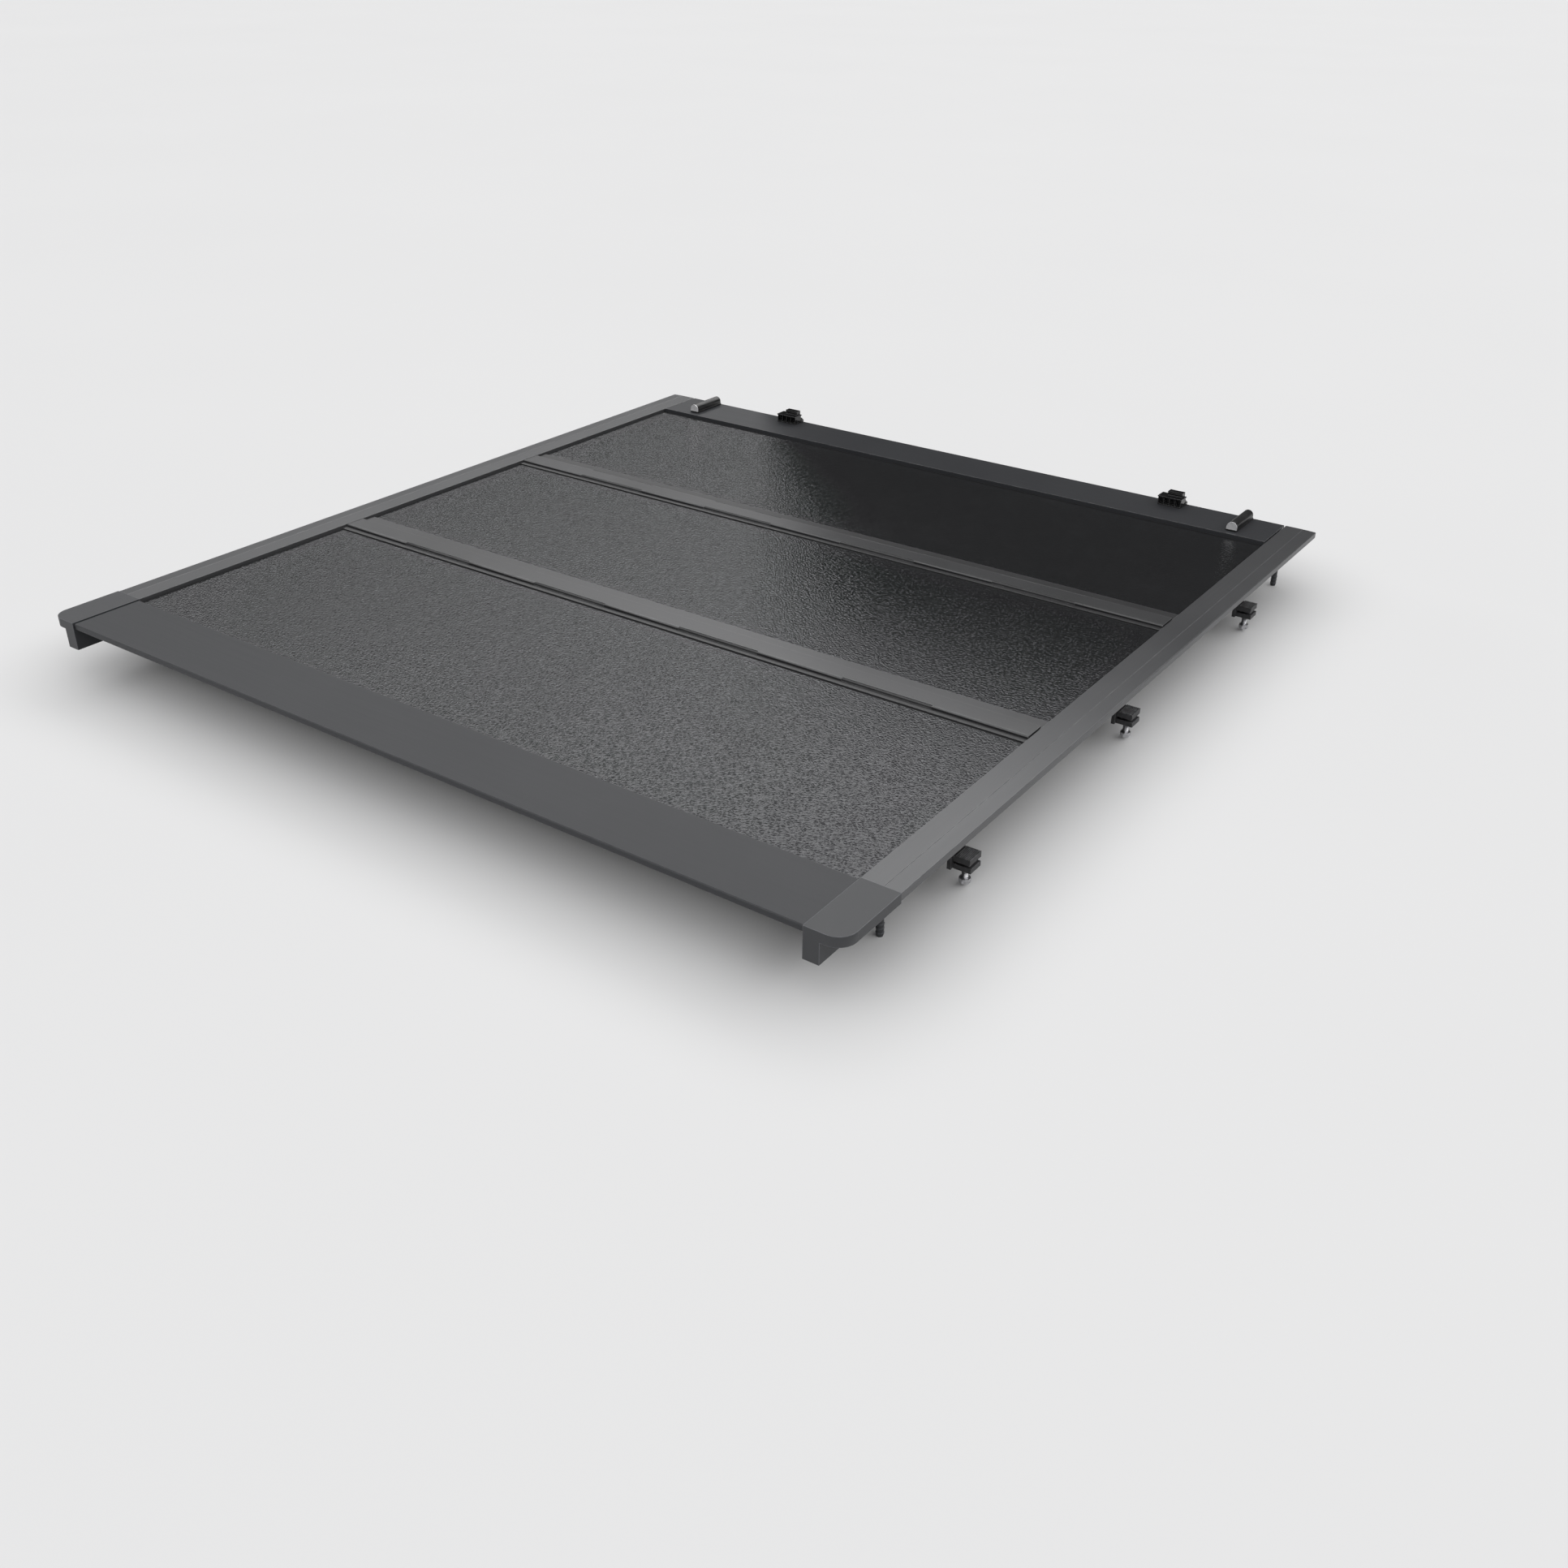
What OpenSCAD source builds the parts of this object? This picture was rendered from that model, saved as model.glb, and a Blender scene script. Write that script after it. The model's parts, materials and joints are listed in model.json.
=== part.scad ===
// Hard folding tonneau cover: three panels between two side rails.
// The cover folds from the tailgate towards the cab, then the front panel lifts with the stack.

/* [Cover] */
// Clear width between the two side rails
inner_w = 1500; // [1480:10:1540]
// Length from the header's rear edge to the cab-side edge
cover_l = 1700; // [1700:1:1704]
// Width of one side rail's top face
rail_w = 61; // [58:1:64]
// Flat part of the rail's top, up to the groove
rail_flat = 35; // [30:1:40]
// Gap between a panel and the rail on each side
side_gap = 3; // [2:0.5:4]

/* [Panels] */
// Depth of the textured skin below the top plane
skin_drop = 6.5; // [5.5:0.5:8]
// Thickness of the skin
skin_t = 1; // [0.8:0.1:1.5]
// Depth of a panel's underside below the top plane
panel_d = 20; // [19.5:0.1:20]
// Wall thickness of the aluminium extrusions
wall = 3; // [2.5:0.5:3]
// Width of the dark groove between a skin and its hinge ledge
groove_w = 3.5; // [2:0.5:5]
// Width of the smooth ledge in front of each hinge strip
front_ledge_l = 28; // [24:1:30]
// Width of the smooth hinge strips
strip_w = 39; // [36:1:42]

/* [Hinges] */
// Radius of a hinge barrel
barrel_r = 2; // [1.8:0.1:2]
// Radius of a hinge pin
hinge_pin_r = 1; // [0.8:0.1:1.1]
// Number of hinge barrels along each hinge
barrel_count = 9; // [5:2:13]
// Radius of the cab-side pivot pins
pivot_r = 5; // [4:0.5:6]
// Radial running clearance of every pin and bolt
running_gap = 0.05; // [0.02:0.01:0.1]

/* [Clamps] */
// Positions of the clamps along the cover
clamp_y = [330, 860, 1390];
// Height of the open gap between the bed seal and a clamp jaw
clamp_gap = 35; // [30:1:38]
// Radius of a clamp bolt
clamp_bolt_r = 5; // [4:0.5:6]

/* [Latch and prop rods] */
// Travel of each latch bolt
latch_travel = 18; // [16:1:18]
// Distance from the latch pivot to each drive pin
latch_arm = 25.5; // [24:0.5:27]
// Length of a prop rod from its pivot to its foot
prop_l = 395; // [390:1:398]
// Radius of a prop rod
prop_r = 4; // [3:0.5:4]

/* [Front fittings] */
// Width of a rubber bumper
bumper_w = 22; // [18:1:26]
// Height of a rubber bumper
bumper_h = 18.5; // [16:0.5:18.5]
// Distance of each bumper from the centre line
bumper_x = 673; // [600:1:700]
// Centres of the two stow clips across the cover
clip_x = [-445, 516];

/* [Hidden] */
$fn = 32;
half_w = inner_w / 2;
panel_x = half_w - side_gap;
cap_rear = -3;
mid_y = (cover_l + cap_rear) / 2;
drain_bottom = -104;

// stations along the cover
header_l = 125;
header_z = -2;
rail_start = 127;
rear_y = 129;
hinge1_y = 594;
hinge2_y = 1094;
hinge3_y = hinge2_y + strip_w;
front_strip_y = 1585;
pivot_y = 1684;
pivot_z = -10;

// hinge section
hinge_z = -barrel_r;
leaf_gap = 0.6;
notch = barrel_r + 0.3;
ledge_z = -4.4;
ledge_l = 12.4;
stem_z = -8;
flange_t = 2;
flange_l = 21;
flange_x = half_w - 25.5;
board_z = -panel_d + flange_t;
skin_z = -skin_drop;
barrel_pitch = 2 * panel_x / barrel_count;
barrel_gap = 0.4;

// rail section
flange_z = -12;
rest_z = -16;
tube_w = 25;
tube_d = 50;
shelf_w = 22;
shelf_z = -24;
shelf_t = 3;
shelf_end = 1599;
edge_drop = 0.8;
edge_chamfer = 1.2;
cap_r = 28;
drain_x = tube_w / 2;
drain_y = [160, 1640];
drain_r = 6;
drain_bore_r = 4;
seal_r = 3.7;
seal_x = 8;

// clamp section, measured from the rail's inner face
plate_t = 6;
plate_w = 40;
arm_top = -66;
arm_t = 8;
arm_end = 59;
jaw_top = rest_z - clamp_gap;
jaw_t = 10;
bolt_x = 44;
bolt_tip_r = clamp_bolt_r - 1;
bolt_head_z = -91;
bolt_head_t = 8;
screw_r = 2.4;
screw_z = -24;
screw_pitch = 24;

// latch
latch_y = 230;
latch_row = 22;
latch_post_r = 4;
latch_rod_w = 14;
latch_rod_z = [-35, -28.5];
latch_pin_r = 2;
latch_disc_r = 30;
latch_disc_z = -24;
latch_handle_l = 66;
latch_handle_z = -40;
latch_handle_t = 3.5;
latch_slot_play = 0.6;
latch_tip = half_w - 8 - latch_travel;

// prop rods
prop_x = 718;
prop_pivot_y = 1540;
prop_z = -32;
prop_foot_l = 17;
prop_pin_r = 3;
prop_eye_r = 7;
prop_ear_in = 4;
prop_ear_out = 6.5;
prop_stop_y = 1286;

// front bar and fittings
bar_y = [1600, 1655];
bar_z = [-49, -24];
bumper_y = [1606, 1697];
plate_depth = 3;
clip_y = 1665;
clip_w = 50;
clip_h = 17;
clip_rib_pitch = 11;

// ---- placing and extruding ----

// Design coordinates have y = 0 at the header's rear edge and z = 0 at the top plane.
// The part's origin is under the middle of the cover, level with its lowest point.
module seat() translate([0, -mid_y, -drain_bottom]) children();

module left() mirror([1, 0, 0]) children();

module both() {
    children();
    left() children();
}

// profile in X and Z, run along Y
module along_y(y0, y1) translate([0, y1, 0]) rotate([90, 0, 0]) linear_extrude(y1 - y0) children();

// profile in Y and Z, run along X
module along_x(x0, x1) translate([x0, 0, 0]) rotate([90, 0, 90]) linear_extrude(x1 - x0) children();

module slab(x0, x1, y0, y1, z0, z1)
    translate([x0, y0, z0]) cube([x1 - x0, y1 - y0, z1 - z0]);

module rect(a0, a1, b0, b1) translate([a0, b0]) square([a1 - a0, b1 - b0]);

// box section with walls of one thickness
module box_section(a0, a1, b0, b1) difference() {
    rect(a0, a1, b0, b1);
    rect(a0 + wall, a1 - wall, b0 + wall, b1 - wall);
}

// half-round bulb standing on z = base
module bulb_section(centre, base) translate([centre, base]) intersection() {
    circle(r = seal_r);
    rect(-seal_r, seal_r, 0, seal_r);
}

module rod_x(x0, x1, y, z, r) translate([x0, y, z]) rotate([0, 90, 0]) cylinder(r = r, h = x1 - x0);

// ---- side rails ----

module rail_section() difference() {
    polygon([[0, -edge_chamfer / 2], [edge_chamfer / 2, 0], [rail_flat - 0.5, 0], [rail_flat, -0.6],
        [rail_flat + 0.5, 0], [rail_w - edge_chamfer, -edge_drop],
        [rail_w, -edge_drop - edge_chamfer], [rail_w, flange_z], [tube_w, flange_z],
        [tube_w, -tube_d], [0, -tube_d]]);
    rect(wall, tube_w - wall, wall - tube_d, -wall);
    rect(tube_w, rail_w - wall, flange_z + wall, -wall - edge_drop);
}

module rail() translate([half_w, 0, 0]) difference() {
    union() {
        along_y(rail_start, cover_l) rail_section();
        slab(-shelf_w, 1, rail_start, shelf_end, shelf_z - shelf_t, shelf_z);
    }
    rod_x(-1, wall + 1, pivot_y, pivot_z, pivot_r + 1);
    for (y = drain_y) translate([drain_x, y, -tube_d - 1]) cylinder(r = drain_r, h = wall + 2);
    for (y = clamp_y, side = [-1, 1])
        rod_x(tube_w - wall - 1, tube_w + 1, y + side * screw_pitch / 2, screw_z, screw_r + 0.1);
}

// ---- corner caps ----

module cap_plan(inset) difference() {
    rect(inset, rail_w - inset, cap_rear + inset, rail_start + inset);
    translate([rail_w - cap_r, cap_rear + cap_r]) difference() {
        rect(0, cap_r + 1, -cap_r - 1, 0);
        circle(r = cap_r - inset, $fn = 64);
    }
}

module cap_core() along_y(cap_rear + wall, rail_start + 1) {
    rect(wall, tube_w - wall, -tube_d - 1, -wall);
    rect(tube_w, rail_w - wall, rest_z - 1, -wall);
}

module corner_cap() translate([half_w, 0, 0]) {
    difference() {
        intersection() {
            along_y(cap_rear, rail_start) polygon([[0, 0], [rail_w, 0], [rail_w, rest_z],
                [tube_w, rest_z], [tube_w, -tube_d], [0, -tube_d]]);
            translate([0, 0, -tube_d - 1]) linear_extrude(tube_d + 2) cap_plan(0);
        }
        intersection() {
            cap_core();
            translate([0, 0, -tube_d - 2]) linear_extrude(tube_d + 4) cap_plan(wall);
        }
    }
    slab(wall - 0.5, tube_w - wall + 0.5, rail_start - 15, rail_start, wall - tube_d, -wall + 0.5);
    slab(wall + 0.3, tube_w - wall - 0.3, rail_start - 1, rail_start + 22,
        wall - tube_d + 0.3, -wall - 0.3);
}

// ---- rear header ----

module header_top_section() translate([0, header_z]) polygon([[0, -10], [0, -1.5], [1.5, 0],
    [header_l, 0], [header_l, -wall], [4, -wall], [4, -10]]);

module rear_header() seat() color([0.2, 0.21, 0.22]) {
    along_x(-half_w + 1.2, half_w - 1.2) header_top_section();
    along_x(-half_w, half_w) {
        rect(header_l - wall, header_l, shelf_z - shelf_t, header_z - wall);
        rect(60, 60 + wall, -18, header_z - wall);
    }
    along_x(-half_w + shelf_w + 0.2, half_w - shelf_w - 0.2)
        rect(header_l - wall, header_l + 21, shelf_z - shelf_t, shelf_z);
}

// ---- seals ----

module tailgate_seal() seat() color([0.05, 0.05, 0.05]) along_x(-half_w + 12, half_w - 12)
    difference() {
        union() {
            rect(8, 26, header_z - wall - 3, header_z - wall);
            translate([17, header_z - 11]) circle(r = 7);
        }
        translate([17, header_z - 11]) circle(r = 4.5);
    }

module bed_seals() seat() color([0.06, 0.06, 0.06])
    both() along_y(rail_start + 1, cover_l - 10)
        rect(half_w + plate_t + tube_w + 1, half_w + rail_w - 4, rest_z, flange_z);

module panel_seals() seat() color([0.05, 0.05, 0.05]) {
    both() along_y(rear_y + 21, shelf_end - 4) bulb_section(half_w - seal_x, shelf_z);
    along_x(-half_w + shelf_w + 2, half_w - shelf_w - 2) bulb_section(rear_y + 9, shelf_z);
    along_x(-half_w + 5, half_w - 5) bulb_section(bar_y[0] + 27, bar_z[1]);
}

// ---- front bar and pivots ----

module front_bar() seat() color([0.2, 0.2, 0.21])
    along_x(-half_w, half_w) box_section(bar_y[0], bar_y[1], bar_z[0], bar_z[1]);

module bulkhead_seal() seat() color([0.05, 0.05, 0.05]) along_x(-half_w + 5, half_w - 5) {
    rect(bar_y[1], bar_y[1] + 3, -46, -30);
    translate([bar_y[1] + 3, -38]) difference() {
        circle(r = 7);
        circle(r = 4.5);
        rect(-8, 0, -8, 8);
    }
}

module pivot_blocks() seat() color([0.1, 0.1, 0.1]) both() difference() {
    slab(half_w + wall, half_w + tube_w - wall, pivot_y - 14, pivot_y + 14, pivot_z - 14, -wall);
    rod_x(half_w + wall - 1, half_w + wall + 14, pivot_y, pivot_z, pivot_r + running_gap);
}

module pivot_pins() seat() color([0.6, 0.6, 0.62]) both() {
    slab(panel_x - 14, panel_x, pivot_y - 11, pivot_y + 12, -panel_d + wall, -wall);
    rod_x(panel_x - 1, half_w + wall + 12, pivot_y, pivot_z, pivot_r);
}

// ---- clamps ----

module clamp_body() translate([half_w, 0, 0]) difference() {
    union() {
        slab(tube_w, tube_w + plate_t, -plate_w / 2, plate_w / 2, arm_top - arm_t, rest_z);
        slab(tube_w, arm_end, -14, 14, arm_top - arm_t, arm_top);
    }
    translate([bolt_x, 0, arm_top - arm_t - 1])
        cylinder(r = clamp_bolt_r + running_gap, h = arm_t + 2);
    for (side = [-1, 1])
        rod_x(tube_w - 1, tube_w + plate_t + 1, side * screw_pitch / 2, screw_z, screw_r + 0.1);
}

module clamp_bodies() seat() color([0.16, 0.16, 0.17])
    both() for (y = clamp_y) translate([0, y, 0]) clamp_body();

module clamp_screws() seat() color([0.55, 0.55, 0.57])
    both() for (y = clamp_y, side = [-1, 1]) translate([half_w, y + side * screw_pitch / 2, 0]) {
        rod_x(tube_w - wall - 3, tube_w + plate_t + 1, 0, screw_z, screw_r);
        rod_x(tube_w + plate_t, tube_w + plate_t + 3, 0, screw_z, 2 * screw_r);
    }

// clamps 1 to 3 are on the left rail and 4 to 6 on the right, from the tailgate forwards
module at_clamp(i)
    mirror([i < 3 ? 1 : 0, 0, 0]) translate([half_w, clamp_y[i % 3], 0]) children();

module clamp_jaw(i) seat() color([0.16, 0.16, 0.17]) at_clamp(i) difference() {
    union() {
        slab(tube_w + plate_t + 0.4, arm_end - 1, -16, 16, jaw_top - jaw_t, jaw_top - 2);
        slab(tube_w + plate_t + 3, arm_end - 1, -16, 16, jaw_top - 3, jaw_top);
    }
    translate([bolt_x, 0, jaw_top - jaw_t - 1])
        cylinder(r = bolt_tip_r + running_gap, h = jaw_t - 2);
}

module clamp_bolt(i) seat() color([0.6, 0.6, 0.62]) at_clamp(i) translate([bolt_x, 0, 0]) {
    translate([0, 0, bolt_head_z - 1])
        cylinder(r = clamp_bolt_r, h = jaw_top - jaw_t - bolt_head_z);
    translate([0, 0, bolt_head_z]) cylinder(r = bolt_tip_r, h = jaw_top - 3.3 - bolt_head_z);
    translate([0, 0, bolt_head_z - bolt_head_t]) cylinder(r = 2 * clamp_bolt_r, h = bolt_head_t, $fn = 6);
}

// ---- drains and prop stops ----

module drain_spigots() seat() color([0.08, 0.08, 0.08])
    both() for (y = drain_y) translate([half_w + drain_x, y, 0]) difference() {
        union() {
            translate([0, 0, drain_bottom]) cylinder(r = drain_r, h = -tube_d - drain_bottom);
            translate([0, 0, -tube_d - 3]) cylinder(r = drain_r + 4, h = 3);
            translate([0, 0, -tube_d - 1]) cylinder(r = drain_r - 0.1, h = wall + 4);
        }
        translate([0, 0, drain_bottom - 1]) cylinder(r = drain_bore_r, h = -drain_bottom);
    }

module prop_stops() seat() color([0.16, 0.16, 0.17])
    both() slab(half_w - 21, half_w - 13, prop_stop_y, prop_stop_y + 5, shelf_z, shelf_z + 3.4);

// ---- hinge leaves ----

// Barrels stand on every second span, so that the barrels of two leaves interleave.
module spans(first) for (k = [first : 2 : barrel_count - 1])
    translate([-panel_x + k * barrel_pitch + barrel_gap / 2, 0, 0]) children();

module barrel(y) translate([0, y, hinge_z]) rotate([0, 90, 0])
    cylinder(r = barrel_r, h = barrel_pitch - barrel_gap);

module hinge_bore(y) rod_x(-panel_x - 1, panel_x + 1, y, hinge_z, hinge_pin_r + running_gap);

module hinge_pin(y) rod_x(-panel_x + 0.5, panel_x - 0.5, y, hinge_z, hinge_pin_r);

// barrels on low stems, for a leaf that lies below its hinge; side is 1 when the leaf is in front
module stemmed_barrels(y, first, side) spans(first) {
    barrel(y);
    slab(0, barrel_pitch - barrel_gap, min(y - side, y + 2 * side), max(y - side, y + 2 * side),
        stem_z, hinge_z);
}

// barrels bridged to a flush strip; side is 1 when the strip is in front of the hinge
module bridged_barrels(y, first, side) spans(first) {
    barrel(y);
    slab(0, barrel_pitch - barrel_gap, min(y, y + side * (notch + 1)), max(y, y + side * (notch + 1)),
        1.6 * hinge_z - 0.4, -0.1);
}

// ledge leaf at the front end of a panel, wrapping the board's front edge
module ledge_rail(hinge_y) difference() {
    union() {
        along_x(-panel_x, panel_x)
            rect(hinge_y - leaf_gap - ledge_l, hinge_y - leaf_gap, -panel_d, ledge_z);
        along_x(-flange_x, flange_x)
            rect(hinge_y - leaf_gap - ledge_l - flange_l, hinge_y - leaf_gap, -panel_d, board_z);
        stemmed_barrels(hinge_y, 1, -1);
    }
    hinge_bore(hinge_y);
}

// ---- panels ----

module skin(y0, y1) slab(-panel_x, panel_x, y0, y1, skin_z - skin_t, skin_z);

module board(y0, y1) slab(-panel_x + wall, panel_x - wall, y0, y1, board_z, skin_z - skin_t);

// angle trims that cover the board's side edges and underside rim
module side_trims(y0, y1) both() along_y(y0, y1) {
    rect(panel_x - wall, panel_x, -panel_d, skin_z - skin_t);
    rect(flange_x + 0.2, panel_x, -panel_d, board_z);
}

ledge1_y = hinge1_y - leaf_gap - ledge_l;
ledge2_y = hinge2_y - leaf_gap - ledge_l;
strip1_end = hinge1_y + strip_w;
front_leaf_y = hinge3_y + leaf_gap;

module rear_skin() seat() color([0.16, 0.16, 0.17]) skin(rear_y, ledge1_y - groove_w);
module rear_board() seat() color([0.75, 0.74, 0.7]) board(rear_y + wall, ledge1_y);
module rear_hinge_rail() seat() color([0.3, 0.31, 0.32]) ledge_rail(hinge1_y);

module rear_edge_trims() seat() color([0.3, 0.31, 0.32]) {
    side_trims(rear_y + wall + 20, ledge1_y);
    along_x(-panel_x, panel_x) {
        rect(rear_y, rear_y + wall, -panel_d, skin_z - skin_t);
        rect(rear_y, rear_y + wall + 19.8, -panel_d, board_z);
    }
}

module middle_skin() seat() color([0.16, 0.16, 0.17])
    skin(strip1_end + front_ledge_l + groove_w, ledge2_y - groove_w);
module middle_board() seat() color([0.75, 0.74, 0.7]) board(strip1_end, ledge2_y);
module middle_edge_trims() seat() color([0.3, 0.31, 0.32]) side_trims(strip1_end, ledge2_y);
module middle_hinge_rail() seat() color([0.3, 0.31, 0.32]) ledge_rail(hinge2_y);

module middle_hinge_strip() seat() color([0.4, 0.41, 0.42]) difference() {
    union() {
        along_x(-panel_x, panel_x) {
            box_section(hinge1_y + notch, strip1_end, -panel_d, 0);
            rect(strip1_end - 1, strip1_end + front_ledge_l, skin_z - skin_t, ledge_z);
        }
        along_x(-flange_x, flange_x)
            rect(strip1_end - 1, strip1_end + flange_l, -panel_d, board_z);
        bridged_barrels(hinge1_y, 0, 1);
    }
    hinge_bore(hinge1_y);
}

module rear_hinge_pin() seat() color([0.7, 0.7, 0.72]) hinge_pin(hinge1_y);

// ---- floating hinge strip ----

module hinge_link() seat() color([0.4, 0.41, 0.42]) difference() {
    union() {
        along_x(-panel_x, panel_x) box_section(hinge2_y + notch, hinge3_y - notch, -16, 0);
        bridged_barrels(hinge2_y, 0, 1);
        bridged_barrels(hinge3_y, 0, -1);
    }
    hinge_bore(hinge2_y);
    hinge_bore(hinge3_y);
}

module hinge_link_pins() seat() color([0.7, 0.7, 0.72]) {
    hinge_pin(hinge2_y);
    hinge_pin(hinge3_y);
}

// ---- front panel ----

module front_hinge_rail() seat() color([0.3, 0.31, 0.32]) difference() {
    union() {
        along_x(-panel_x, panel_x) {
            rect(front_leaf_y, front_leaf_y + ledge_l, -panel_d, ledge_z);
            rect(front_leaf_y, front_leaf_y + front_ledge_l, skin_z - skin_t, ledge_z);
        }
        along_x(-flange_x, flange_x)
            rect(front_leaf_y, front_leaf_y + ledge_l + flange_l, -panel_d, board_z);
        stemmed_barrels(hinge3_y, 1, 1);
    }
    hinge_bore(hinge3_y);
}

module front_skin() seat() color([0.16, 0.16, 0.17])
    skin(front_leaf_y + front_ledge_l + groove_w, front_strip_y - groove_w);

module front_board() seat() color([0.75, 0.74, 0.7])
    board(front_leaf_y + ledge_l, front_strip_y);

module front_edge_trims() seat() color([0.3, 0.31, 0.32])
    side_trims(front_leaf_y + ledge_l, front_strip_y);

module front_strip() seat() color([0.2, 0.21, 0.22]) {
    along_x(-panel_x, panel_x) {
        box_section(front_strip_y, cover_l, -panel_d, 0);
        rect(bar_y[1], bar_y[1] + wall, -panel_d + 1, -1);
        rect(front_strip_y, front_strip_y + 2, -1, 0.8);
    }
    along_x(-flange_x, flange_x)
        rect(front_strip_y - flange_l, front_strip_y + 1, -panel_d, board_z);
}

// ---- bumpers and clips on the front strip ----

module bumper_section(shrink) {
    rect(shrink - bumper_w / 2, bumper_w / 2 - shrink, shrink, bumper_h - bumper_w / 2);
    translate([0, bumper_h - bumper_w / 2]) circle(r = bumper_w / 2 - shrink, $fn = 48);
}

module bumper() translate([bumper_x, 0, 0]) along_y(bumper_y[0], bumper_y[1]) intersection() {
    bumper_section(0);
    rect(-bumper_w, bumper_w, 0, 2 * bumper_h);
}

module bumper_plate() translate([bumper_x, 0, 0]) difference() {
    along_y(bumper_y[0] - plate_depth, bumper_y[0]) intersection() {
        bumper_section(0);
        rect(-bumper_w, bumper_w, 0, 2 * bumper_h);
    }
    along_y(bumper_y[0] - plate_depth - 1, bumper_y[0] - plate_depth + 1.2) bumper_section(2);
}

module left_bumper() seat() color([0.1, 0.1, 0.1]) left() bumper();
module right_bumper() seat() color([0.1, 0.1, 0.1]) bumper();
module left_bumper_plate() seat() color([0.7, 0.7, 0.72]) left() bumper_plate();
module right_bumper_plate() seat() color([0.7, 0.7, 0.72]) bumper_plate();

module stow_clip(x) translate([x, clip_y, 0]) {
    difference() {
        slab(-clip_w / 2, clip_w / 2, 0, 25, 0, clip_h + 0.5);
        for (k = [-1.5 : 1 : 1.5]) translate([k * clip_rib_pitch, 0, 0]) slab(-3.8, 3.8, -1, 8, 3, clip_h - 1.5);
    }
    slab(-clip_w / 2 - 1, clip_w / 2 + 1, -1, 27, clip_h, clip_h + 2);
    difference() {
        slab(-10, 22, 11, 27, clip_h + 1, clip_h + 11);
        slab(-6.5, 18.5, 10, 28, clip_h + 4, clip_h + 8.5);
    }
    slab(-15, 27, 24, 35, 0, 10);
}

module left_stow_clip() seat() color([0.08, 0.08, 0.08]) stow_clip(clip_x[0]);
module right_stow_clip() seat() color([0.08, 0.08, 0.08]) stow_clip(clip_x[1]);

// ---- prop rods ----

module prop_bracket() {
    difference() {
        union() {
            slab(prop_x - 10, prop_x + prop_ear_out, prop_pivot_y - 22, prop_pivot_y + 22,
                board_z - flange_t, board_z);
            for (x = [prop_x - prop_ear_out, prop_x + prop_ear_in])
                slab(x, x + prop_ear_out - prop_ear_in, prop_pivot_y - 8, prop_pivot_y + 8,
                    prop_z - 7, board_z);
        }
        rod_x(prop_x - 8, prop_x + 8, prop_pivot_y, prop_z, prop_pin_r);
    }
    translate([prop_x, prop_pivot_y - prop_l + 45, 0]) {
        slab(-8, prop_ear_out, -10, 10, board_z - flange_t, board_z);
        for (side = [-1, 1]) translate([side * (prop_r + 1.4), 0, 0])
            slab(-0.8, 0.8, -6, 6, prop_z - 2, board_z);
    }
}

module prop_brackets() seat() color([0.16, 0.16, 0.17]) both() prop_bracket();

module prop_pins() seat() color([0.6, 0.6, 0.62])
    both() rod_x(prop_x - 9, prop_x + 7.5, prop_pivot_y, prop_z, prop_pin_r);

module prop_rod() difference() {
    union() {
        rod_x(prop_x - prop_ear_in + 0.3, prop_x + prop_ear_in - 0.3, prop_pivot_y, prop_z, prop_eye_r);
        translate([prop_x, prop_pivot_y - 4, prop_z]) rotate([90, 0, 0])
            cylinder(r = prop_r, h = prop_l - 4);
        rod_x(prop_x, prop_x + prop_foot_l, prop_pivot_y - prop_l, prop_z, prop_r);
        translate([prop_x, prop_pivot_y - prop_l, prop_z]) sphere(r = prop_r);
    }
    rod_x(prop_x - 5, prop_x + 5, prop_pivot_y, prop_z, prop_pin_r + running_gap);
}

module left_prop_rod() seat() color([0.6, 0.6, 0.62]) left() prop_rod();
module right_prop_rod() seat() color([0.6, 0.6, 0.62]) prop_rod();

// ---- latch under the rear panel ----

// guide that a latch bolt slides through
module latch_guide(x) translate([x, 0, 0]) difference() {
    slab(-5, 5, -11, 11, latch_rod_z[0] - 3, board_z);
    slab(-6, 6, -latch_rod_w / 2 - 0.4, latch_rod_w / 2 + 0.4, latch_rod_z[0] - 0.4, latch_rod_z[1] + 0.4);
}

module latch_base() seat() color([0.16, 0.16, 0.17]) translate([0, latch_y, 0]) {
    translate([0, 0, board_z - 2.5]) cylinder(r = 38, h = 2.5, $fn = 64);
    translate([0, 0, latch_handle_z - 1]) cylinder(r = latch_post_r, h = board_z - latch_handle_z + 1);
    for (x = [150, 430, 706]) {
        translate([0, -latch_row, 0]) latch_guide(x);
        translate([0, latch_row, 0]) latch_guide(-x);
    }
}

module latch_lever() seat() color([0.1, 0.1, 0.1]) translate([0, latch_y, 0]) difference() {
    union() {
        translate([0, 0, latch_disc_z]) cylinder(r = latch_disc_r, h = 3, $fn = 64);
        translate([0, 0, latch_handle_z]) cylinder(r = 9, h = latch_disc_z + 3 - latch_handle_z);
        for (side = [-1, 1])
            translate([0, side * latch_arm, latch_disc_z - 9]) cylinder(r = latch_pin_r, h = 10);
        translate([0, 0, latch_handle_z]) {
            slab(-8, 8, -latch_handle_l, 0, 0, latch_handle_t);
            translate([0, -latch_handle_l, 0]) cylinder(r = 8, h = latch_handle_t);
        }
    }
    translate([0, 0, latch_handle_z - 5]) cylinder(r = latch_post_r + running_gap, h = 30);
}

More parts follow.
